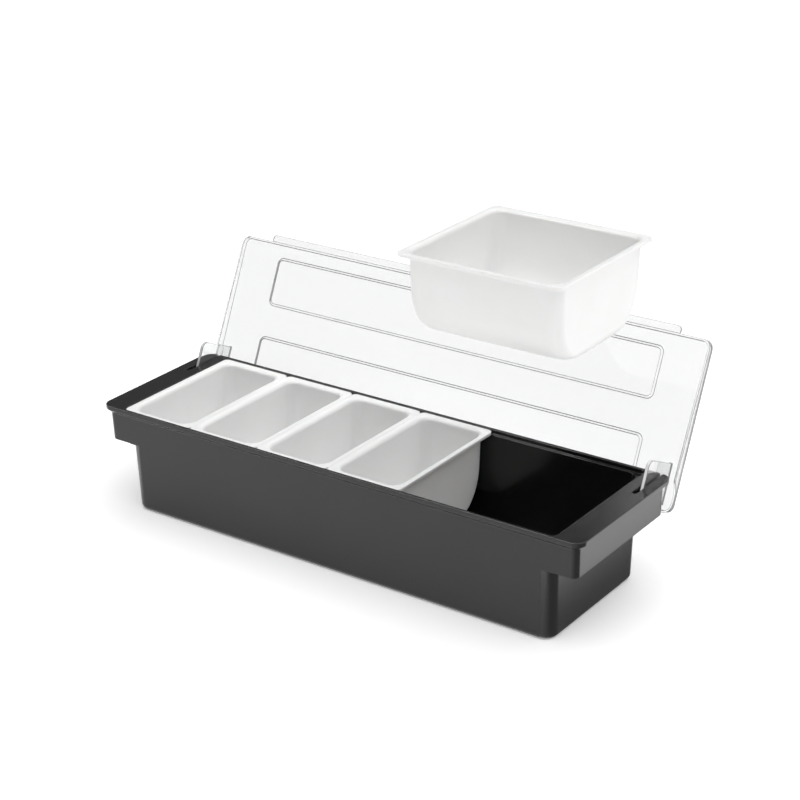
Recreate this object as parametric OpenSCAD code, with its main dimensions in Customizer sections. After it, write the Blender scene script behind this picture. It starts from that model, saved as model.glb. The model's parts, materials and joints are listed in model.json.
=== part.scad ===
// Condiment caddy: a serving tray with a row of drop-in inserts and one clear lid that
// flips up and back on two moulded webs, which turn on pins under the tray's end flanges.
// X runs along the row, -Y is the front, +Z is up. The origin is the middle of the base.

/* [Tray] */
// Overall length over the rim
tray_l = 500; // [440:1:620]
// Overall depth over the rim, front to back
tray_w = 150; // [140:1:190]
// Height from the base to the top of the rim
tray_h = 98.5; // [94:0.5:130]
// Corner radius of the rim outline
rim_r = 10; // [8:0.5:16]
// Height of the upright edge of the rim
rim_edge = 4; // [3:0.5:6]
// How far the rim stands out past the walls, front and back
rim_side = 3.5; // [3:0.5:5]
// How far the rim stands out past the grip skirts at the ends
rim_end = 5; // [3:0.5:8]
// Thickness of the tray's walls
wall = 2.2; // [1.8:0.1:3]
// Thickness of the floor and of the end flanges
plate = 2.5; // [2:0.1:3.5]
// Draft of the tray's and the inserts' walls: how far they lean in for each mm of depth
draft = 0.026; // [0.01:0.002:0.034]
// Radius of the tub's upright outer corners
tub_r = 12; // [8:0.5:16]
// Radius between the tub's walls and its base
base_r = 5; // [3:0.5:8]
// Radius of the grip skirts' upright corners
skirt_r = 6; // [4:0.5:9]
// Height of the grip skirts, down from the top of the rim
skirt_h = 34; // [30:1:45]

/* [Seat for the inserts] */
// Number of single-width places in the row
places = 6; // [4:1:6]
// Number of those places that the wide insert takes
wide_places = 2; // [2:1:3]
// Distance from one place to the next
pitch = 75.3; // [70:0.1:76]
// Depth of the sunken seat below the rim
seat_drop = 3.8; // [3.4:0.1:5]
// Width of the seat's ledge, front and back
ledge_side = 2.7; // [2.5:0.1:3.2]
// Width of the seat's ledge at the ends
ledge_end = 4.8; // [4.2:0.1:6]
// Width of the rim strip beside the seat, front and back
rim_strip = 3; // [2.6:0.1:4]
// Clearance between the seat and the row of flanges, all round
seat_gap = 0.25; // [0.2:0.05:0.4]
// Clearance on each side of an insert, to its neighbour in the row
side_gap = 0.1; // [0.1:0.05:0.3]

/* [Inserts] */
// Depth of an insert from the top of its flange to its underside
insert_h = 75; // [60:1:80]
// Thickness of the flange
flange_t = 3; // [2.5:0.1:3.4]
// Width of the flange outside the body
flange_w = 4.6; // [4.4:0.1:5.2]
// Corner radius of the flange
flange_r = 5; // [4:0.5:6]
// Thickness of an insert's walls and floor
insert_wall = 2; // [1.6:0.1:2.6]
// Radius of the upright corners of an insert's body
body_r = 12; // [10:0.5:16]
// Radius of the scooped front and back of an insert
scoop_r = 43; // [30:1:50]
// Radius between an insert's ends and its floor
end_r = 12; // [10:0.5:16]

/* [Lid] */
// Inset of the lid's outline from the rim's outline
lid_inset = 0.5; // [0:0.1:1.5]
// Thickness of the lid's sheet and of its skirt
lid_t = 2; // [1.6:0.1:2.6]
// Corner radius of the lid
lid_r = 8; // [6:0.5:12]
// Height of the lid at its front edge
lid_front_h = 6.1; // [5:0.1:9]
// Height of the lid at its back edge
lid_back_h = 10.4; // [9.5:0.1:13]
// Height of the lid's back skirt, which stops the open lid against the tub
lid_stop_h = 5.8; // [4:0.1:6]
// Length of the finger lip along the front edge
lip_l = 436; // [200:1:440]
// How far the finger lip stands out from the front edge
lip_w = 6.5; // [5:0.5:10]
// Corner radius of the finger lip
lip_r = 3.5; // [2:0.5:5]
// Length of the two raised panels
panel_l = 413; // [300:1:420]
// Width of each raised panel, front to back
panel_w = 46; // [36:1:50]
// Distance between the two panels
panel_gap = 30; // [20:1:36]
// Height of a panel above the sheet
panel_rise = 0.9; // [0.5:0.1:1.5]
// Corner radius of a panel
panel_r = 6; // [4:0.5:9]
// Gap between the closed lid and the rim
lid_gap = 0.2; // [0.1:0.05:0.5]
// Clearance of the relief that lets the skirt swing round the rim's back corners
relief_gap = 0.4; // [0.3:0.1:1]

/* [Hinge] */
// Distance of each hinge web from the end of the rim
web_in = 12; // [11:0.5:12.5]
// Thickness of a hinge web
web_t = 3; // [2.5:0.1:3.5]
// Distance of the pivot from the back of the rim
pivot_in = 14; // [13:0.5:15]
// Depth of the pivot below the top of the rim
pivot_drop = 14; // [13:0.5:15]
// Reach of the web from the pivot towards the lid's front edge
web_front = 28; // [26:0.5:28]
// Reach of the web from the pivot towards the lid's back edge
web_back = 7.5; // [7:0.5:8]
// Reach of the web from the pivot away from the lid's sheet
web_reach = 21; // [18:0.5:21]
// Corner radius of a web
web_r = 6; // [5:0.5:7]
// Diameter of the pivot pin moulded on each web
pin_d = 6; // [5:0.5:6.5]
// Length of the pin on each side of the web
pin_l = 3.2; // [2.6:0.1:3.4]
// Radial clearance between the pin and its ears
pin_gap = 0.06; // [0.03:0.01:0.1]
// Thickness of an ear under the flange
ear_t = 3; // [2.5:0.1:3.2]
// Radius of an ear round the pin
ear_r = 6.5; // [6:0.5:7]
// Clearance on each side of a web in its slot
slot_gap = 0.6; // [0.4:0.1:0.8]
// Clearance in front of a web's swing at the slot's front end
slot_end_gap = 1.2; // [0.8:0.1:2]

/* [Position shown] */
// How far the lid is opened from closed, in degrees
lid_open = 116.6; // [0:0.1:116.6]
// Whether the wide insert is lifted out of its seat: 1 is out, 0 is in
wide_out = 1; // [0, 1]
// Clearance between the lifted insert and the highest reach of the swinging lid
lift_gap = 0.5; // [0.5:0.5:20]

/* [Hidden] */

$fn = 64;
hull_fn = 32;
sliver = 0.02;
over = 1;
// An arc cuts this far into the drafted side that it meets, so that they cross cleanly.
arc_bite = 0.02;

seat_z = tray_h - seat_drop;
seat_l = places * pitch + 2 * (seat_gap - side_gap);
seat_w = tray_w - 2 * rim_strip;
mouth_l = seat_l - 2 * ledge_end;
mouth_w = seat_w - 2 * ledge_side;
tub_l = mouth_l + 2 * wall;
tub_w = mouth_w + 2 * wall;
skirt_l = tray_l - 2 * rim_end;
skirt_z = tray_h - skirt_h;
edge_z = tray_h - rim_edge;

flange_z = seat_z + flange_t;
flange_d = seat_w - 2 * seat_gap;
seat_r = flange_r + seat_gap;

lid_l = tray_l - 2 * lid_inset;
lid_w = tray_w - 2 * lid_inset;
lid_slope = atan((lid_back_h - lid_front_h) / lid_w);
panel_edge = (lid_w - 2 * panel_w - panel_gap) / 2;

web_x = tray_l / 2 - web_in;
pivot_y = tray_w / 2 - pivot_in;
pivot_z = tray_h - pivot_drop;
slot_w = web_t + 2 * slot_gap;
web_swing = norm([web_front - web_r, web_reach - web_r]) + web_r;
slot_y = pivot_y - sqrt(pow(web_swing, 2) - pow(pivot_drop - plate, 2)) - slot_end_gap;

// The pivot seen from the lid's own frame: its back edge and the top of its sheet are zero.
pivot_from_edge = [pivot_y - (tray_w / 2 - lid_inset), pivot_z - tray_h - lid_gap];
pivot_lid = [pivot_from_edge[0] * cos(lid_slope) + pivot_from_edge[1] * sin(lid_slope),
             pivot_from_edge[1] * cos(lid_slope) - pivot_from_edge[0] * sin(lid_slope)
             - lid_back_h];
relief_r = norm([pivot_in, pivot_drop]) + relief_gap;

// The finger lip is the part of the lid that is furthest from the pivot. The lifted insert
// stands clear of it, by a whole number of millimetres above its seat.
lid_reach = norm([lid_w + lip_w + pivot_lid[0], pivot_lid[1]]);
wide_lift = wide_out * ceil(pivot_z + lid_reach + lift_gap + insert_h - flange_z);

// Rectangle with round corners, centred.
module round_rect(l, w, r) {
    square([l - 2 * r, w], center = true);
    square([l, w - 2 * r], center = true);
    for (x = [-1, 1], y = [-1, 1])
        translate([x * (l / 2 - r), y * (w / 2 - r)]) circle(r);
}

// One level of a drafted box: sizes are given at the seat's height and shrink below it.
module level(l, w, r, z, inset = 0) {
    shrink = (seat_z - z) * draft + inset;
    translate([0, 0, z]) linear_extrude(sliver)
        round_rect(l - 2 * shrink, w - 2 * shrink, max(r - inset, 1), $fn = hull_fn);
}

// Drafted box between two heights, with its lower edge rounded.
module drafted(l, w, r, bottom, top, edge = 0) {
    hull() {
        level(l, w, r, top - sliver);
        for (a = [0 : 18 : 90])
            level(l, w, r, bottom + edge * (1 - sin(a)), edge * (1 - cos(a)), $fn = hull_fn);
    }
}

// Rim: the upright edge, and the slope under it that meets the walls.
module rim() {
    translate([0, 0, edge_z]) linear_extrude(rim_edge) round_rect(tray_l, tray_w, rim_r);
    hull() {
        translate([0, 0, edge_z]) linear_extrude(sliver) round_rect(tray_l, tray_w, rim_r, $fn = hull_fn);
        level(skirt_l, tub_w, skirt_r, edge_z - rim_side);
    }
}

// One ear under an end flange, centred on the pin's axis.
module ear() {
    rotate([0, 90, 0]) cylinder(r = ear_r, h = ear_t, center = true);
    translate([-ear_t / 2, -ear_r, 0]) cube([ear_t, 2 * ear_r, pivot_drop - plate + over]);
}

// Places a child at each of the two webs.
module at_webs() {
    for (side = [-1, 1]) translate([side * web_x, 0, 0]) children();
}

module tray() color("#232325") {
    ear_x = web_t / 2 + slot_gap + ear_t / 2;
    difference() {
        union() {
            difference() {
                union() {
                    rim();
                    drafted(skirt_l, tub_w, skirt_r, skirt_z, edge_z);
                }
                drafted(skirt_l - 2 * wall, mouth_w, skirt_r - wall, skirt_z - over, tray_h - plate);
            }
            drafted(tub_l, tub_w, tub_r, 0, seat_z, base_r);
            translate([0, 0, seat_z - plate]) linear_extrude(plate)
                round_rect(seat_l + 2 * wall, tub_w, seat_r);
            at_webs() for (s = [-1, 1]) translate([s * ear_x, pivot_y, pivot_z]) ear();
        }
        drafted(mouth_l, mouth_w, tub_r - wall, plate, seat_z + over, base_r);
        translate([0, 0, seat_z]) linear_extrude(seat_drop + over) round_rect(seat_l, seat_w, seat_r);
        at_webs() {
            translate([-slot_w / 2, slot_y, skirt_z - over])
                cube([slot_w, tray_w, skirt_h + 2 * over]);
            translate([0, pivot_y, pivot_z]) rotate([0, 90, 0])
                cylinder(r = pin_d / 2 + pin_gap, h = 2 * (ear_x + ear_t / 2), center = true);
        }
    }
}

// Side view of a drafted box, w wide at zero and h deep.
module trapezium(w, h) {
    lean = h * draft;
    polygon([[-w / 2, 0], [w / 2, 0], [w / 2 - lean, -h], [lean - w / 2, -h]]);
}

// Drafted box with round upright corners. Its size is given at its top, which is at zero.
module drafted_block(l, w, h, r) {
    for (x = [-1, 1], y = [-1, 1]) translate([x * (l / 2 - r), y * (w / 2 - r), -h])
        cylinder(r1 = r - h * draft, r2 = r, h = h);
    rotate([90, 0, 0]) linear_extrude(w - 2 * r, center = true) trapezium(l, h);
    rotate([90, 0, 90]) linear_extrude(l - 2 * r, center = true) trapezium(w, h);
}

// Section that rounds the foot of such a box: arcs of radius r between its sides and its floor.
module foot_section(w, h, r) {
    centre = w / 2 - (h - r) * draft - r * norm([1, draft]) + arc_bite;
    polygon([[-centre, -h], [centre, -h], [centre, r - h], [w, r - h], [w, over],
             [-w, over], [-w, r - h], [-centre, r - h]]);
    for (s = [-1, 1]) translate([s * centre, r - h]) circle(r, $fn = 128);
}

// Body of an insert as a solid: scooped front and back, tighter ends, round corners.
module insert_solid(l, w, h, corner, scoop, end) {
    intersection() {
        drafted_block(l, w, h + over, corner);
        rotate([90, 0, 90]) linear_extrude(2 * l, center = true) foot_section(w, h, scoop);
        rotate([90, 0, 0]) linear_extrude(2 * w, center = true) foot_section(l, h, end);
    }
}

// An insert that takes n places; the top of its flange is at zero.
module insert(n) color("#f4f4f2") {
    l = n * pitch - 2 * side_gap;
    body_l = l - 2 * flange_w;
    body_w = flange_d - 2 * flange_w;
    difference() {
        union() {
            translate([0, 0, -flange_t]) linear_extrude(flange_t) round_rect(l, flange_d, flange_r);
            insert_solid(body_l, body_w, insert_h, body_r, scoop_r, end_r);
        }
        translate([0, 0, over])
            insert_solid(body_l - 2 * insert_wall, body_w - 2 * insert_wall,
                         insert_h - insert_wall + over, body_r - insert_wall,
                         scoop_r - insert_wall, end_r - insert_wall);
    }
}

// Puts an insert in its seat: it starts at place number first and takes n places.
module seat_insert(first, n) {
    translate([(first + n / 2 - places / 2) * pitch, 0, flange_z]) insert(n);
}

module small_insert_1() { seat_insert(0, 1); }
module small_insert_2() { seat_insert(1, 1); }
module small_insert_3() { seat_insert(2, 1); }
module small_insert_4() { seat_insert(3, 1); }
module large_insert() { translate([0, 0, wide_lift]) seat_insert(places - wide_places, wide_places); }

// Outline of the lid's sheet in its own frame.
module lid_outline(inset = 0) {
    translate([0, -lid_w / 2]) round_rect(lid_l - 2 * inset, lid_w - 2 * inset, lid_r - inset);
}

// The two panels, drawn larger or smaller by grow.
module panels(grow) {
    for (y = [panel_edge + panel_w / 2, lid_w - panel_edge - panel_w / 2])
        translate([0, -y]) round_rect(panel_l + 2 * grow, panel_w + 2 * grow, panel_r + grow);
}

// Sheet with its raised panels, finger lip and skirt. The skirt's lower edge slopes. Its back
// is cut short to stop the open lid against the tub, and a relief round the pivot clears the rim.
module lid_shell() {
    difference() {
        union() {
            translate([0, 0, -lid_back_h]) linear_extrude(lid_back_h) lid_outline();
            translate([0, -lid_w, -lid_t]) linear_extrude(lid_t)
                round_rect(lip_l, 2 * lip_w, lip_r);
            linear_extrude(panel_rise) panels(0);
        }
        translate([0, 0, -lid_back_h - over]) linear_extrude(lid_back_h + over - lid_t)
            lid_outline(lid_t);
        translate([0, 0, -lid_t - over]) linear_extrude(over + panel_rise) panels(-lid_t);
        translate([0, 0, -lid_back_h]) rotate([-lid_slope, 0, 0])
            translate([-lid_l, -2 * lid_w, -lid_w]) cube([2 * lid_l, 3 * lid_w, lid_w]);
        translate([-lid_l / 2, -lid_r, -lid_back_h - over])
            cube([lid_l, 2 * lid_r, lid_back_h + over - lid_stop_h]);
        translate([0, pivot_lid[0], pivot_lid[1]]) rotate([0, 90, 0])
            cylinder(r = relief_r, h = lid_l, center = true, $fn = 128);
    }
}

// One hinge web with its pin, in the lid's frame.
module web() {
    top = -pivot_lid[1] - lid_t / 2;
    translate([0, pivot_lid[0], pivot_lid[1]]) {
        rotate([90, 0, 90]) linear_extrude(web_t, center = true) {
            translate([-web_front, web_r - web_reach])
                square([web_front + web_back, top + web_reach - web_r]);
            translate([web_r - web_front, -web_reach])
                square([web_front + web_back - 2 * web_r, web_reach]);
            for (y = [web_r - web_front, web_back - web_r])
                translate([y, web_r - web_reach]) circle(web_r);
        }
        rotate([0, 90, 0]) cylinder(d = pin_d, h = web_t + 2 * pin_l, center = true);
    }
}

module lid() color("#dfe6ea", 0.4) {
    translate([0, pivot_y, pivot_z]) rotate([-lid_open, 0, 0]) translate([0, -pivot_y, -pivot_z])
        translate([0, tray_w / 2 - lid_inset, tray_h + lid_gap]) rotate([lid_slope, 0, 0])
            translate([0, 0, lid_back_h]) {
                lid_shell();
                at_webs() web();
            }
}

tray();
lid();
small_insert_1();
small_insert_2();
small_insert_3();
small_insert_4();
large_insert();
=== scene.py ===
"""Condiment caddy: finished mouldings, their plastics and a plain studio, built on the frame."""

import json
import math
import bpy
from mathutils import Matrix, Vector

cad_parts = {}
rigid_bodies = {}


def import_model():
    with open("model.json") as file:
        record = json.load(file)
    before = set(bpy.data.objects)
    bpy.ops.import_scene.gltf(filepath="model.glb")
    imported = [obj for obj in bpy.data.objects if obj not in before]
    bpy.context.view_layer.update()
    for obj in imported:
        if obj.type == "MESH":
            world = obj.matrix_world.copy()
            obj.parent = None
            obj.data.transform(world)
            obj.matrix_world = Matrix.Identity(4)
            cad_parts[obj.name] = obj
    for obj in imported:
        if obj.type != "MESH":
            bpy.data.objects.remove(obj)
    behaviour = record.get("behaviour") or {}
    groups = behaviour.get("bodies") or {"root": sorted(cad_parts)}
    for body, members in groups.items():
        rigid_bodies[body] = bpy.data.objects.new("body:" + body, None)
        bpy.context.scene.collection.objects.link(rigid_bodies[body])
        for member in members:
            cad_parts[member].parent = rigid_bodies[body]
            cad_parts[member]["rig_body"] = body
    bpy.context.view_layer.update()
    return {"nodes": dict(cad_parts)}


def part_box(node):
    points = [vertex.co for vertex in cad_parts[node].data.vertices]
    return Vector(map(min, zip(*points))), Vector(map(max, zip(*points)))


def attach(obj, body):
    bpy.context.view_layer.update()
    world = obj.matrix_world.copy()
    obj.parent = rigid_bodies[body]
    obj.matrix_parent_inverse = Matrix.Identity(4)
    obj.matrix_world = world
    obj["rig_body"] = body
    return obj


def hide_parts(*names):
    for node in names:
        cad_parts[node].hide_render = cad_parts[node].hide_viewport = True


bl_info = {
    "name": "Condiment Caddy",
    "version": (1, 0, 0),
    "blender": (4, 5, 0),
    "location": "View3D > Sidebar > Caddy",
    "description": "Builds a condiment caddy with drop-in inserts and a clear flip lid",
    "category": "Object",
}

import bmesh
import bpy
from bpy.props import FloatProperty, FloatVectorProperty, PointerProperty
from mathutils import Matrix, Vector

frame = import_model()

MM = 0.001
SMALL_INSERTS = ["small_insert_1", "small_insert_2", "small_insert_3", "small_insert_4"]
LARGE_INSERT = "large_insert"

# Steps round an insert's upright corners, its small edges, its scoop and its end foot, and the
# segments of each rounded edge of the tray and the lid.
CORNER_STEPS = 12
EDGE_STEPS = 4
SCOOP_STEPS = 18
FOOT_STEPS = 8
EDGE_SEGMENTS = 3
# Rings closer together than this are one ring.
RING_SPACING = 0.15 * MM
# What counts as one point, as a sliver of a face, as flat and as an edge, in a frame mesh.
SAME_POINT = 0.1 * MM
SLIVER = 0.08 * MM
FLAT_ANGLE = math.radians(0.6)
EDGE_ANGLE = math.radians(28)
# How far the shading follows the larger faces. 100 is the most.
LARGE_FACE_WEIGHT = 100
# Size of the patches in each plastic: wear and polish on the tray, flow and sheen on the inserts,
# and wiping on the lid, which is drawn out along the row.
WEAR_PATCH = 60 * MM
POLISH_PATCH = 14 * MM
FLOW_PATCH = 35 * MM
SHEEN_PATCH = 10 * MM
WIPE_PATCH = 30 * MM
WIPE_STRETCH = (0.25, 1, 1)
# Nearly all of a soft noise lies between these shares.
NOISE_LOW = 0.3
NOISE_HIGH = 0.7
# Refractive index of the tray's and of the inserts' plastic.
TRAY_REFRACTION = 1.5
INSERT_REFRACTION = 1.48
# How far red, green and blue travel inside the white plastic, as shares of its scatter depth.
SCATTER_SHARES = (1.0, 0.95, 0.9)
WHITE = (1, 1, 1, 1)
# Sockets of the colour mix node, which share their names.
MIX_FIRST = 6
MIX_SECOND = 7
MIX_RESULT = 2
# The lid's plastics: its rounded edges take a darker grey copy of the clear plastic, painted shade
# for the darker surroundings that real edges refract, and the rims of its webs take a paler,
# cloudier copy, a painted highlight for the bright band that they refract. The webs lie between
# these distances along the row, on both sides. A web's face whose normal points along the row by
# more than WEB_SIDE is a flat side, not a rim.
PAINTED_EDGE_SHADE_MATERIAL = 1
PAINTED_WEB_RIM_MATERIAL = 2
WEB_NEAR = 0.2365
WEB_FAR = 0.2395
WEB_SIDE = 0.5
# The tray's skirts leave the tub along their lower edges at this height. Those edges stay sharp
# up to this distance along the row, because the ledge between skirt and tub is still too narrow.
SKIRT_FOOT = 0.0645
SKIRT_LEAVES_TUB = 0.2225
SKIRT_REACH = 0.06
# The overhead light, by the cosine of the angle from its middle: where it fades out and is full.
LIGHT_FADES = 0.42
LIGHT_FULL = 0.95
# The camera's frame in millimetres, and how far it sees in metres.
SENSOR_WIDTH = 36
SIGHT_END = 100
# The studio cards. The side card lies on the floor and fans out round the tub's front right
# corner: it darkens round the corner, and is bright again beside the end. The back card stands
# behind, and brightens along the row to its full tone. The edge light is a narrow strip high in
# front on the left.
SIDE_CARD_PLACE = (0.209, -0.057, 1 * MM)
SIDE_CARD_REACH = 1.2
SIDE_CARD_STEPS = 16
SIDE_CARD_START = math.radians(-88)
SIDE_CARD_DARK = math.radians(-20)
SIDE_CARD_LIFTS = math.radians(22)
SIDE_CARD_BRIGHT = math.radians(46)
SIDE_CARD_END = math.radians(84)
SIDE_CARD_NEAR = 0.015
SIDE_CARD_FAR = 0.125
BACK_CARD = [(-0.14, 0.35, 0.16), (0.30, 0.35, 0.16), (0.30, 0.35, 0.42), (-0.14, 0.35, 0.42)]
BACK_CARD_DIM = 0.02
BACK_CARD_FULL = 0.09
EDGE_LIGHT = [(-2.4, -1.0, 1.5), (0.4, -1.0, 1.5), (0.4, -0.55, 1.5), (-2.4, -0.55, 1.5)]


def length(name, description, default):
    """A size property in metres."""
    return FloatProperty(
        name=name, description=description, default=default, min=0, precision=5, unit="LENGTH"
    )


def colour(name, description, default):
    """A linear colour property."""
    return FloatVectorProperty(
        name=name, description=description, default=default, size=3, min=0, max=1, subtype="COLOR"
    )


def factor(name, description, default):
    """A property from 0 to 1."""
    return FloatProperty(
        name=name, description=description, default=default, min=0, max=1, subtype="FACTOR"
    )


def amount(name, description, default):
    """A plain number with no unit, such as the brightness of a light."""
    return FloatProperty(name=name, description=description, default=default)


def turn(name, description, default):
    """An angle property, given here in degrees."""
    return FloatProperty(
        name=name, description=description, default=math.radians(default), subtype="ANGLE"
    )


# ---------------------------------------------------------------- settings


class TraySettings(bpy.types.PropertyGroup):
    """Edges and plastic of the tray."""

    edge_radius: length("Edge radius", "Rounding of every edge of the moulding", 0.7 * MM)
    base_colour: colour("Colour", "Colour of the near-black plastic", (0.0105, 0.0105, 0.0108))
    worn_colour: colour("Worn colour", "Colour where handling dulled it", (0.014, 0.014, 0.0143))
    smooth: factor("Least roughness", "Roughness where the surface is most polished", 0.13)
    rough: factor("Most roughness", "Roughness where the surface is dullest", 0.19)
    grain_size: length("Grain size", "Size of the moulded grain", 0.7 * MM)
    grain_depth: length("Grain depth", "Depth of the moulded grain", 0.004 * MM)


class InsertSettings(bpy.types.PropertyGroup):
    """Sizes and plastic of the inserts."""

    flange_thickness: length("Flange thickness", "Thickness of the flange", 3 * MM)
    flange_width: length("Flange width", "Width of the flange outside the body", 4.6 * MM)
    flange_corner: length("Flange corner", "Corner radius of the flange", 5 * MM)
    flange_edge: length("Flange edge", "Rounding of the flange's top edge", 0.35 * MM)
    under_edge: length("Under edge", "Rounding under the flange and at the body's neck", 0.5 * MM)
    wall: length("Wall", "Thickness of the walls and the floor", 2 * MM)
    mouth_edge: length("Mouth edge", "Rounding between the flange's top and the inside", 4 * MM)
    body_corner: length("Body corner", "Radius of the body's upright corners", 12 * MM)
    scoop: length("Scoop", "Radius of the scooped front and back", 43 * MM)
    end_foot: length("End foot", "Radius between the ends and the floor", 12 * MM)
    lean: factor("Lean", "How far the walls lean in for each metre of depth", 0.026)
    base_colour: colour("Colour", "Colour of the white plastic", (0.885, 0.885, 0.88))
    cloud_colour: colour("Clouding", "Deeper white in the plastic's flow", (0.865, 0.865, 0.858))
    smooth: factor("Least roughness", "Roughness where the surface is most polished", 0.30)
    rough: factor("Most roughness", "Roughness where the surface is dullest", 0.40)
    glow: factor("Translucency", "How much light scatters inside the plastic", 0.5)
    glow_depth: length("Scatter depth", "How far light travels inside the plastic", 3 * MM)
    grain_size: length("Grain size", "Size of the fine moulded grain", 0.9 * MM)
    grain_depth: length("Grain depth", "Depth of the fine moulded grain", 0.006 * MM)


class LidSettings(bpy.types.PropertyGroup):
    """Edges and plastic of the lid."""

    edge_radius: length("Edge radius", "Rounding of every edge of the moulding", 0.42 * MM)
    tint: colour("Tint", "Colour of the clear plastic", (0.80, 0.803, 0.805))
    shade: colour("Shadow tint", "Light that passes on to what lies behind", (0.95, 0.952, 0.955))
    smooth: factor("Least roughness", "Roughness where the sheet is most polished", 0.02)
    rough: factor("Most roughness", "Roughness where wiping has hazed it", 0.07)
    refraction: amount("Refraction", "Refractive index of the clear plastic", 1.49)
    clarity: factor("Clarity", "Share of the light that passes without being scattered", 0.95)
    # Painted shade: the rounded edges take a darker grey, cloudier copy of the clear plastic.
    painted_edge_shade: colour("Edge tint", "Colour along the rounded edges", (0.32, 0.327, 0.33))
    painted_edge_clarity: factor("Edge clarity", "The same share along its rounded edges", 0.5)
    # Painted highlight: the webs' rims take a paler, cloudier copy of the clear plastic.
    painted_rim_highlight: colour("Web rim tint", "Colour of the rims of the hinge webs", (0.86, 0.863, 0.865))
    painted_rim_clarity: factor("Web rim clarity", "The same share at the rims of the hinge webs", 0.35)


class StageSettings(bpy.types.PropertyGroup):
    """Floor, light and camera."""

    floor_size: length("Floor size", "Length of each side of the floor", 24.0)
    floor_colour: colour("Floor colour", "Colour of the plain floor", (0.96, 0.96, 0.96))
    floor_glow: amount("Floor glow", "Brightness of the floor's own light", 0.22)
    zenith: amount("Overhead light", "Brightness of the broad light overhead", 1.97)
    horizon: amount("Horizon light", "Brightness of the room round the horizon", 0.17)
    light_turn: turn("Light direction", "Bearing that the overhead light leans to", 105)
    light_lean: turn("Light lean", "How far the overhead light leans from upright", 10)
    side_card: amount("Side card", "Brightness of the card on the right, beside the end", 1.9)
    side_card_near: amount("Side card, near", "Its brightness close to the tray", 0.28)
    side_card_dark: amount("Side card, dark", "Its brightness round the front corner", 0.33)
    side_card_edge: amount("Side card, edge", "Its brightness where it starts", 1.05)
    back_card: amount("Back card", "Brightness of the card behind on the right", 1.2)
    edge_light: amount("Edge light", "Brightness of the strip that the rounded edges mirror", 14.0)
    camera_turn: turn("Camera turn", "Bearing of the camera round from the front", 35.551)
    camera_rise: turn("Camera rise", "Height of the camera above the horizon", 23.322)
    camera_roll: turn("Camera roll", "Tilt of the picture", -0.821)
    camera_distance: length("Camera distance", "From the point looked at to the camera", 1.74798)
    camera_lens: amount("Lens", "Focal length in millimetres on a 36 mm frame", 92.73)
    look_at: FloatVectorProperty(
        name="Looks at", description="Point that the camera looks at", size=3,
        default=(0.0271, 0.0, 0.1412), subtype="XYZ", unit="LENGTH",
    )


# ---------------------------------------------------------------- shaders


def new_material(name):
    """An empty material with its output node and its tree."""
    material = bpy.data.materials.new(name)
    material.use_nodes = True
    tree = material.node_tree
    tree.nodes.clear()
    tree.nodes.new("ShaderNodeOutputMaterial")
    return material, tree


def add(tree, kind, inputs=None, **settings):
    """Adds a node. inputs gives a value, or another node's output, for each named socket."""
    node = tree.nodes.new("ShaderNode" + kind)
    for key, value in settings.items():
        setattr(node, key, value)
    for key, value in (inputs or {}).items():
        if isinstance(value, bpy.types.NodeSocket):
            tree.links.new(value, node.inputs[key])
        else:
            node.inputs[key].default_value = value
    return node


def to_output(tree, shader):
    """Shows a shader on the surface."""
    tree.links.new(shader, tree.nodes["Material Output"].inputs["Surface"])


def choose_by_path(tree, path, usual, special):
    """Shows the usual shader, and the special one to light whose path is of this kind."""
    mix = add(tree, "MixShader", {"Fac": add(tree, "LightPath").outputs[path]})
    tree.links.new(usual, mix.inputs[1])
    tree.links.new(special, mix.inputs[2])
    to_output(tree, mix.outputs["Shader"])


def cloud(tree, size, detail, stretch=(1, 1, 1)):
    """Soft noise with features of this size, in the piece's own space, from 0 to 1."""
    place = add(tree, "TexCoord").outputs["Object"]
    scaled = add(tree, "Mapping", {"Vector": place, "Scale": stretch}).outputs["Vector"]
    noise = add(tree, "TexNoise", {"Vector": scaled, "Scale": 1 / size, "Detail": detail})
    return noise.outputs["Fac"]


def between(tree, share, low, high):
    """A value that runs from low to high as share goes over the middle of its range."""
    spread = add(tree, "MapRange", {
        "Value": share,
        "From Min": NOISE_LOW, "From Max": NOISE_HIGH,
        "To Min": low, "To Max": high,
    })
    return spread.outputs["Result"]


def blend_colours(tree, share, first, second):
    """A colour that runs from first to second as share goes over the middle of its range."""
    even = between(tree, share, 0, 1)
    mix = add(tree, "Mix", data_type="RGBA")
    tree.links.new(even, mix.inputs["Factor"])
    mix.inputs[MIX_FIRST].default_value = (*first, 1)
    mix.inputs[MIX_SECOND].default_value = (*second, 1)
    return mix.outputs[MIX_RESULT]


def soft_step(tree, value, fades, full, low, high):
    """A value that runs smoothly from low to high as another goes from fades to full."""
    step = add(tree, "MapRange", {
        "Value": value,
        "From Min": fades, "From Max": full,
        "To Min": low, "To Max": high,
    }, interpolation_type="SMOOTHSTEP")
    return step.outputs["Result"]


def shine(tree, brightness):
    """Makes the surface give its own light."""
    to_output(tree, add(tree, "Emission", {"Strength": brightness}).outputs["Emission"])


def grain(tree, size, depth):
    """Normal of a fine moulded grain."""
    bump = {"Height": cloud(tree, size, detail=2), "Strength": 1.0, "Distance": depth}
    return add(tree, "Bump", bump).outputs["Normal"]


def tray_plastic(settings):
    """Near-black satin plastic with a moulded grain and a little wear."""
    material, tree = new_material("black_satin_plastic")
    wear = cloud(tree, WEAR_PATCH, detail=5)
    polish = cloud(tree, POLISH_PATCH, detail=6)
    shader = add(tree, "BsdfPrincipled", {
        "Base Color": blend_colours(tree, wear, settings.base_colour, settings.worn_colour),
        "Roughness": between(tree, polish, settings.smooth, settings.rough),
        "Normal": grain(tree, settings.grain_size, settings.grain_depth),
        "IOR": TRAY_REFRACTION,
    })
    to_output(tree, shader.outputs["BSDF"])
    return material


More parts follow.
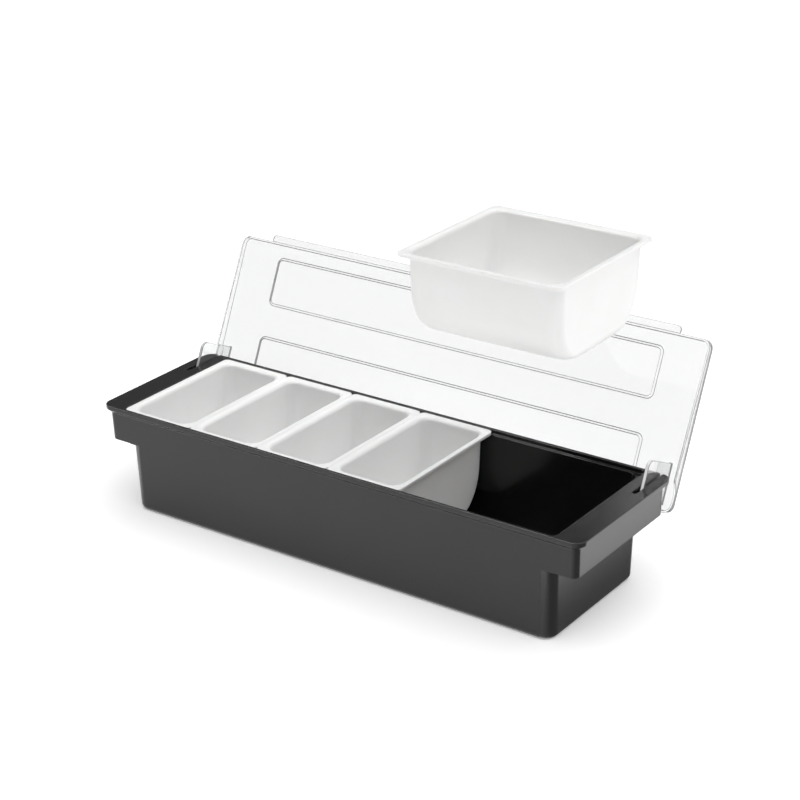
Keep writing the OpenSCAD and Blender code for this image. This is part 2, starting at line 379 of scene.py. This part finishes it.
def insert_plastic(settings):
    """White, slightly translucent plastic with soft flow clouding."""
    material, tree = new_material("white_moulded_plastic")
    flow = cloud(tree, FLOW_PATCH, detail=4)
    sheen = cloud(tree, SHEEN_PATCH, detail=5)
    shader = add(tree, "BsdfPrincipled", {
        "Base Color": blend_colours(tree, flow, settings.base_colour, settings.cloud_colour),
        "Roughness": between(tree, sheen, settings.smooth, settings.rough),
        "Normal": grain(tree, settings.grain_size, settings.grain_depth),
        "IOR": INSERT_REFRACTION,
        "Subsurface Weight": settings.glow,
        "Subsurface Radius": SCATTER_SHARES,
        "Subsurface Scale": settings.glow_depth,
    })
    to_output(tree, shader.outputs["BSDF"])
    return material


def lid_plastic(name, tint, clarity, settings):
    """Clear plastic, faintly hazed along the way that it is wiped. It casts a pale shadow."""
    material, tree = new_material(name)
    wiped = cloud(tree, WIPE_PATCH, detail=6, stretch=WIPE_STRETCH)
    clear = add(tree, "BsdfPrincipled", {
        "Base Color": (*tint, 1),
        "Roughness": between(tree, wiped, settings.smooth, settings.rough),
        "IOR": settings.refraction,
        "Transmission Weight": clarity,
    })
    passed = add(tree, "BsdfTransparent", {"Color": (*settings.shade, 1)})
    choose_by_path(tree, "Is Shadow Ray", clear.outputs["BSDF"], passed.outputs["BSDF"])
    return material


# ---------------------------------------------------------------- meshes


def quarter_turn(steps):
    """Sine and cosine of even steps from 0 to 90 degrees."""
    angles = [math.pi / 2 * step / steps for step in range(steps + 1)]
    return [(math.sin(angle), math.cos(angle)) for angle in angles]


def ring(half_l, half_w, corner, height):
    """Points of a level rectangle with round corners, anticlockwise seen from above."""
    points = []
    for quarter, (side_x, side_y) in enumerate([(1, 1), (-1, 1), (-1, -1), (1, -1)]):
        for step in range(CORNER_STEPS + 1):
            angle = math.pi / 2 * (quarter + step / CORNER_STEPS)
            x = side_x * (half_l - corner) + corner * math.cos(angle)
            y = side_y * (half_w - corner) + corner * math.sin(angle)
            points.append(Vector((x, y, height)))
    return points


def loft(name, rings):
    """A closed skin through rings of equal length, capped at both ends."""
    skin = bmesh.new()
    loops = [[skin.verts.new(point) for point in points] for points in rings]
    for lower, upper in zip(loops, loops[1:]):
        for i in range(len(lower)):
            j = (i + 1) % len(lower)
            skin.faces.new((lower[i], lower[j], upper[j], upper[i]))
    skin.faces.new(reversed(loops[0]))
    skin.faces.new(loops[-1])
    mesh = bpy.data.meshes.new(name)
    skin.to_mesh(mesh)
    skin.free()
    return mesh


def drafted_half(top_half, depth, lean, foot, floor):
    """Half the width, at a depth, of walls that lean in and round into a floor."""
    straight = top_half - depth * lean
    past = depth - (floor - foot)
    if past <= 0:
        return straight
    centre = top_half - (floor - foot) * lean - foot * math.hypot(1, lean)
    return min(straight, centre + math.sqrt(max(foot * foot - past * past, 0)))


def body_depths(floor, scoop, end_foot):
    """Depths of a body's rings, from where its scoop starts down to its floor."""
    depths = [floor - scoop + scoop * sine for sine, _ in quarter_turn(SCOOP_STEPS)]
    depths += [floor - end_foot + end_foot * sine for sine, _ in quarter_turn(FOOT_STEPS)]
    kept = []
    for depth in sorted(depths):
        if not kept or depth - kept[-1] > RING_SPACING:
            kept.append(depth)
    kept[-1] = floor
    return kept


def insert_rings(box, sizes):
    """Rings of an insert that fills this box: up the outside, over the flange, down the inside."""
    low, high = box
    flange_l, flange_w, floor = (high.x - low.x) / 2, (high.y - low.y) / 2, high.z - low.z
    body_l, body_w = flange_l - sizes.flange_width, flange_w - sizes.flange_width

    def body(depth, inset=0.0):
        """The ring at this depth of the body, or of the cavity inset from it."""
        feet = sizes.end_foot - inset, sizes.scoop - inset
        half_l, half_w = (
            drafted_half(top - inset, depth, sizes.lean, foot, floor - inset)
            for top, foot in zip((body_l, body_w), feet)
        )
        return half_l, half_w, sizes.body_corner - inset

    def grown(half_l, half_w, corner, by):
        """The same ring, larger all round."""
        return half_l + by, half_w + by, corner + by

    rings = []
    for depth in reversed(body_depths(floor, sizes.scoop, sizes.end_foot)):
        rings.append(ring(*body(depth), -depth))
    under, edge, mouth = sizes.under_edge, sizes.flange_edge, sizes.mouth_edge
    neck = sizes.flange_thickness + under
    for sine, cosine in quarter_turn(EDGE_STEPS):
        rings.append(ring(*grown(*body(neck), under * (1 - cosine)), under * sine - neck))
    for sine, cosine in quarter_turn(EDGE_STEPS):
        inset = under * (1 - sine)
        flange = flange_l - inset, flange_w - inset, sizes.flange_corner - inset
        rings.append(ring(*flange, under * (1 - cosine) - sizes.flange_thickness))
    for sine, cosine in quarter_turn(EDGE_STEPS):
        inset = edge * (1 - cosine)
        flange = flange_l - inset, flange_w - inset, sizes.flange_corner - inset
        rings.append(ring(*flange, edge * (sine - 1)))
    for sine, cosine in quarter_turn(2 * EDGE_STEPS):
        cavity = grown(*body(mouth, sizes.wall), mouth * (1 - sine))
        rings.append(ring(*cavity, mouth * (cosine - 1)))
    cavity_floor = floor - sizes.wall
    for depth in body_depths(cavity_floor, sizes.scoop - sizes.wall, sizes.end_foot - sizes.wall):
        rings.append(ring(*body(depth, sizes.wall), -depth))
    centre = Vector(((low.x + high.x) / 2, (low.y + high.y) / 2, high.z))
    return [[point + centre for point in points] for points in rings]


def join_slivers(skin):
    """Joins each sliver of a face to the one over its longest edge. True if any was joined."""
    doomed, taken = [], set()
    for face in skin.faces:
        edge = max(face.edges, key=lambda side: side.calc_length())
        if 2 * face.calc_area() < SLIVER * edge.calc_length() and not taken & set(edge.link_faces):
            doomed.append(edge)
            taken.update(edge.link_faces)
    bmesh.ops.dissolve_edges(skin, edges=doomed)
    return bool(doomed)


def clean_copy(node, name):
    """The node's shape as a new mesh of clean faces, ready for its edges to be rounded."""
    skin = bmesh.new()
    skin.from_mesh(frame["nodes"][node].data)
    bmesh.ops.remove_doubles(skin, verts=skin.verts, dist=SAME_POINT)
    while join_slivers(skin):
        pass
    bmesh.ops.dissolve_limit(skin, angle_limit=FLAT_ANGLE, verts=skin.verts, edges=skin.edges)
    skin.verts.index_update()
    points = [vertex.co.copy() for vertex in skin.verts]
    faces = [[vertex.index for vertex in face.verts] for face in skin.faces]
    skin.free()
    mesh = bpy.data.meshes.new(name)
    mesh.from_pydata(points, [], faces)
    return mesh


def add_piece(mesh, node, material):
    """Shows a mesh in place of a node, riding on that node's body."""
    mesh.shade_smooth()
    piece = bpy.data.objects.new(mesh.name, mesh)
    piece.data.materials.append(material)
    bpy.context.scene.collection.objects.link(piece)
    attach(piece, frame["nodes"][node]["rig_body"])
    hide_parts(node)
    return piece


def mark_tray_edges(mesh):
    """Marks the tray's edges for rounding, apart from the skirts' lower edges where they start."""
    skin = bmesh.new()
    skin.from_mesh(mesh)
    marks = skin.edges.layers.float.new("bevel_weight_edge")

    def at_skirt_foot(edge):
        return all(
            abs(end.co.z - SKIRT_FOOT) < SAME_POINT and abs(end.co.y) > SKIRT_REACH
            for end in edge.verts
        )

    for edge in [edge for edge in skin.edges if at_skirt_foot(edge)]:
        near, far = sorted(edge.verts, key=lambda end: abs(end.co.x))
        start, stop = abs(near.co.x), abs(far.co.x)
        if start < SKIRT_LEAVES_TUB < stop and abs(near.co.y - far.co.y) < SAME_POINT:
            bmesh.utils.edge_split(edge, near, (SKIRT_LEAVES_TUB - start) / (stop - start))
    for edge in skin.edges:
        sharp = edge.calc_face_angle() > EDGE_ANGLE
        starts = at_skirt_foot(edge) and all(
            abs(end.co.x) < SKIRT_LEAVES_TUB + SAME_POINT for end in edge.verts
        )
        edge[marks] = 1.0 if sharp and not starts else 0.0
    skin.to_mesh(mesh)
    skin.free()


def give_web_rims_painted_highlight(mesh):
    """Gives the narrow faces round each hinge web the paler plastic, a painted highlight."""
    for face in mesh.polygons:
        places = [abs(mesh.vertices[corner].co.x) for corner in face.vertices]
        inside = WEB_NEAR - SAME_POINT < min(places) and max(places) < WEB_FAR + SAME_POINT
        if inside and abs(face.normal.x) < WEB_SIDE:
            face.material_index = PAINTED_WEB_RIM_MATERIAL


def round_edges(piece, radius, which="ANGLE"):
    """Rounds every edge of a piece, or every edge that is marked."""
    bevel = piece.modifiers.new("round_edges", "BEVEL")
    bevel.width = radius
    bevel.segments = EDGE_SEGMENTS
    bevel.limit_method = which
    bevel.angle_limit = EDGE_ANGLE
    bevel.use_clamp_overlap = False


def even_shading(piece):
    """Lets the large faces set the shading, so that flats look flat beside rounded edges."""
    shading = piece.modifiers.new("even_shading", "WEIGHTED_NORMAL")
    shading.weight = LARGE_FACE_WEIGHT
    shading.keep_sharp = True


# ---------------------------------------------------------------- operators


class CADDY_OT_tray(bpy.types.Operator):
    """Build the tray's moulding with rounded edges"""

    bl_idname = "caddy.tray"
    bl_label = "Tray"

    def execute(self, context):
        settings = context.scene.caddy_tray
        mesh = clean_copy("tray", "tray_moulding")
        mark_tray_edges(mesh)
        tray = add_piece(mesh, "tray", tray_plastic(settings))
        round_edges(tray, settings.edge_radius, "WEIGHT")
        even_shading(tray)
        return {"FINISHED"}


class CADDY_OT_inserts(bpy.types.Operator):
    """Build the four small inserts and the large one"""

    bl_idname = "caddy.inserts"
    bl_label = "Inserts"

    def execute(self, context):
        settings = context.scene.caddy_inserts
        material = insert_plastic(settings)
        for node in [*SMALL_INSERTS, LARGE_INSERT]:
            mesh = loft(node + "_moulding", insert_rings(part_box(node), settings))
            insert = add_piece(mesh, node, material)
            even_shading(insert)
        return {"FINISHED"}


class CADDY_OT_lid(bpy.types.Operator):
    """Build the clear lid's moulding with rounded edges"""

    bl_idname = "caddy.lid"
    bl_label = "Lid"

    def execute(self, context):
        settings = context.scene.caddy_lid
        mesh = clean_copy("lid", "lid_moulding")
        # The edge plastic is painted shade, a darker copy of the clear plastic. The rim plastic is
        # a painted highlight, a paler and cloudier copy.
        sheet, edge, rim = (
            lid_plastic(name, tint, clarity, settings)
            for name, tint, clarity in (
                ("clear_plastic", settings.tint, settings.clarity),
                ("clear_plastic_painted_edge_shade", settings.painted_edge_shade, settings.painted_edge_clarity),
                ("clear_plastic_painted_rim_highlight", settings.painted_rim_highlight, settings.painted_rim_clarity),
            )
        )
        lid = add_piece(mesh, "lid", sheet)
        lid.data.materials.append(edge)
        lid.data.materials.append(rim)
        give_web_rims_painted_highlight(mesh)
        round_edges(lid, settings.edge_radius)
        # The rounded edges take the darker copy, painted shade.
        lid.modifiers["round_edges"].material = PAINTED_EDGE_SHADE_MATERIAL
        even_shading(lid)
        return {"FINISHED"}


class CADDY_OT_stage(bpy.types.Operator):
    """Build the floor, the light and the camera"""

    bl_idname = "caddy.stage"
    bl_label = "Stage"

    def execute(self, context):
        settings = context.scene.caddy_stage
        add_floor(settings)
        add_studio_light(settings)
        add_side_card(settings)
        add_back_card(settings)
        add_edge_light(settings)
        add_camera(settings)
        context.scene.view_settings.view_transform = "Standard"
        return {"FINISHED"}


# ---------------------------------------------------------------- stage


def link_new(name, data):
    """A new object in the scene."""
    thing = bpy.data.objects.new(name, data)
    bpy.context.scene.collection.objects.link(thing)
    return thing


def add_floor(settings):
    """A plain pale floor at the height that the tray stands on."""
    half = settings.floor_size / 2
    mesh = bpy.data.meshes.new("floor")
    corners = [(-half, -half, 0), (half, -half, 0), (half, half, 0), (-half, half, 0)]
    mesh.from_pydata(corners, [], [(0, 1, 2, 3)])
    material, tree = new_material("pale_floor")
    paint = add(tree, "BsdfPrincipled", {
        "Base Color": (*settings.floor_colour, 1),
        "Roughness": 1.0,
        "Specular IOR Level": 0.0,
        "Emission Color": WHITE,
        "Emission Strength": settings.floor_glow,
    })
    to_output(tree, paint.outputs["BSDF"])
    mesh.materials.append(material)
    link_new("floor", mesh)


def bearing(turned, risen):
    """Unit vector of a bearing round from the front, and a rise above the horizon."""
    flat = Vector((math.sin(turned), -math.cos(turned), 0))
    return flat * math.cos(risen) + Vector((0, 0, math.sin(risen)))


def add_studio_light(settings):
    """A room that is dim round the horizon and bright overhead, as under a wide softbox."""
    world = bpy.data.worlds.new("studio")
    world.use_nodes = True
    tree = world.node_tree
    tree.nodes.clear()
    towards = bearing(settings.light_turn, math.pi / 2 - settings.light_lean)
    sight = add(tree, "TexCoord").outputs["Generated"]
    aligned = add(tree, "VectorMath", operation="DOT_PRODUCT")
    tree.links.new(sight, aligned.inputs[0])
    aligned.inputs[1].default_value = towards
    facing = aligned.outputs["Value"]
    glow = soft_step(tree, facing, LIGHT_FADES, LIGHT_FULL, settings.horizon, settings.zenith)
    background = add(tree, "Background", {"Color": WHITE, "Strength": glow})
    output = add(tree, "OutputWorld")
    tree.links.new(background.outputs["Background"], output.inputs["Surface"])
    bpy.context.scene.world = world


def add_card(name, corners, material, place=(0, 0, 0), through_clear=False):
    """A card that only reflections see. Clear plastic hides it from them unless through_clear."""
    mesh = bpy.data.meshes.new(name)
    mesh.from_pydata(corners, [], [range(len(corners))])
    mesh.materials.append(material)
    card = link_new(name, mesh)
    card.location = place
    card.visible_camera = False
    card.visible_diffuse = False
    card.visible_transmission = through_clear
    card.visible_shadow = False


def fraction_of_turn(angle):
    """Where a radial gradient has this angle, from 0 to 1."""
    return 0.5 + angle / math.tau


def add_side_card(settings):
    """A card on the right that draws the tray's corner dark and its end bright."""
    material, tree = new_material("side_card")
    place = add(tree, "TexCoord").outputs["Object"]
    across = add(tree, "SeparateXYZ", {"Vector": place}).outputs["X"]
    swept = add(tree, "TexGradient", {"Vector": place}, gradient_type="RADIAL").outputs["Fac"]
    starts, dark, lifts, bright = (
        fraction_of_turn(angle)
        for angle in (SIDE_CARD_START, SIDE_CARD_DARK, SIDE_CARD_LIFTS, SIDE_CARD_BRIGHT)
    )
    near, full = settings.side_card_near, settings.side_card
    beside_end = soft_step(tree, across, SIDE_CARD_NEAR, SIDE_CARD_FAR, near, full)
    edge, deepest = settings.side_card_edge, settings.side_card_dark
    round_corner = soft_step(tree, swept, starts, dark, edge, deepest)
    shine(tree, soft_step(tree, swept, lifts, bright, round_corner, beside_end))
    fan = [(0, 0, 0)]
    for step in range(SIDE_CARD_STEPS + 1):
        angle = SIDE_CARD_START + (SIDE_CARD_END - SIDE_CARD_START) * step / SIDE_CARD_STEPS
        fan.append((SIDE_CARD_REACH * math.cos(angle), SIDE_CARD_REACH * math.sin(angle), 0))
    add_card("side_card", fan, material, SIDE_CARD_PLACE)


def add_back_card(settings):
    """A pale card behind on the right, which the tops at that end mirror, also through the lid."""
    material, tree = new_material("back_card")
    place = add(tree, "TexCoord").outputs["Object"]
    across = add(tree, "SeparateXYZ", {"Vector": place}).outputs["X"]
    dim, full = settings.horizon, settings.back_card
    tone = soft_step(tree, across, BACK_CARD_DIM, BACK_CARD_FULL, dim, full)
    lit = add(tree, "Emission", {"Strength": tone}).outputs["Emission"]
    unseen = add(tree, "BsdfTransparent", {"Color": WHITE}).outputs["BSDF"]
    choose_by_path(tree, "Glossy Depth", unseen, lit)
    add_card("back_card", BACK_CARD, material, through_clear=True)


def add_edge_light(settings):
    """A narrow strip of light high in front, which the rounded edges mirror as a thin line."""
    material, tree = new_material("edge_light")
    shine(tree, settings.edge_light)
    add_card("edge_light", EDGE_LIGHT, material)


def add_camera(settings):
    """The camera, on a bearing round the caddy."""
    data = bpy.data.cameras.new("camera")
    data.lens = settings.camera_lens
    data.sensor_width = SENSOR_WIDTH
    data.clip_end = SIGHT_END
    camera = link_new("camera", data)
    back = bearing(settings.camera_turn, settings.camera_rise)
    place = Vector(settings.look_at) + back * settings.camera_distance
    level = (-back).to_track_quat("-Z", "Y").to_matrix()
    rolled = Matrix.Rotation(settings.camera_roll, 3, back) @ level
    camera.matrix_world = Matrix.Translation(place) @ rolled.to_4x4()
    bpy.context.scene.camera = camera


# ---------------------------------------------------------------- panel and registration


class CADDY_PT_build(bpy.types.Panel):
    """The caddy's pieces and its stage"""

    bl_label = "Condiment Caddy"
    bl_idname = "CADDY_PT_build"
    bl_space_type = "VIEW_3D"
    bl_region_type = "UI"
    bl_category = "Caddy"

    def draw(self, context):
        for operator, settings_name in STEPS:
            box = self.layout.box()
            box.operator(operator.bl_idname)
            settings = getattr(context.scene, settings_name)
            for key in settings.__annotations__:
                box.prop(settings, key)


SETTINGS = {
    "caddy_tray": TraySettings,
    "caddy_inserts": InsertSettings,
    "caddy_lid": LidSettings,
    "caddy_stage": StageSettings,
}
STEPS = [
    (CADDY_OT_tray, "caddy_tray"),
    (CADDY_OT_inserts, "caddy_inserts"),
    (CADDY_OT_lid, "caddy_lid"),
    (CADDY_OT_stage, "caddy_stage"),
]
CLASSES = [*SETTINGS.values(), *(operator for operator, _ in STEPS), CADDY_PT_build]


def register():
    for kind in CLASSES:
        bpy.utils.register_class(kind)
    for name, kind in SETTINGS.items():
        setattr(bpy.types.Scene, name, PointerProperty(type=kind))


def unregister():
    for name in SETTINGS:
        delattr(bpy.types.Scene, name)
    for kind in reversed(CLASSES):
        bpy.utils.unregister_class(kind)


def main():
    register()
    bpy.ops.caddy.tray()
    bpy.ops.caddy.inserts()
    bpy.ops.caddy.lid()
    bpy.ops.caddy.stage()


if __name__ == "__main__":
    main()
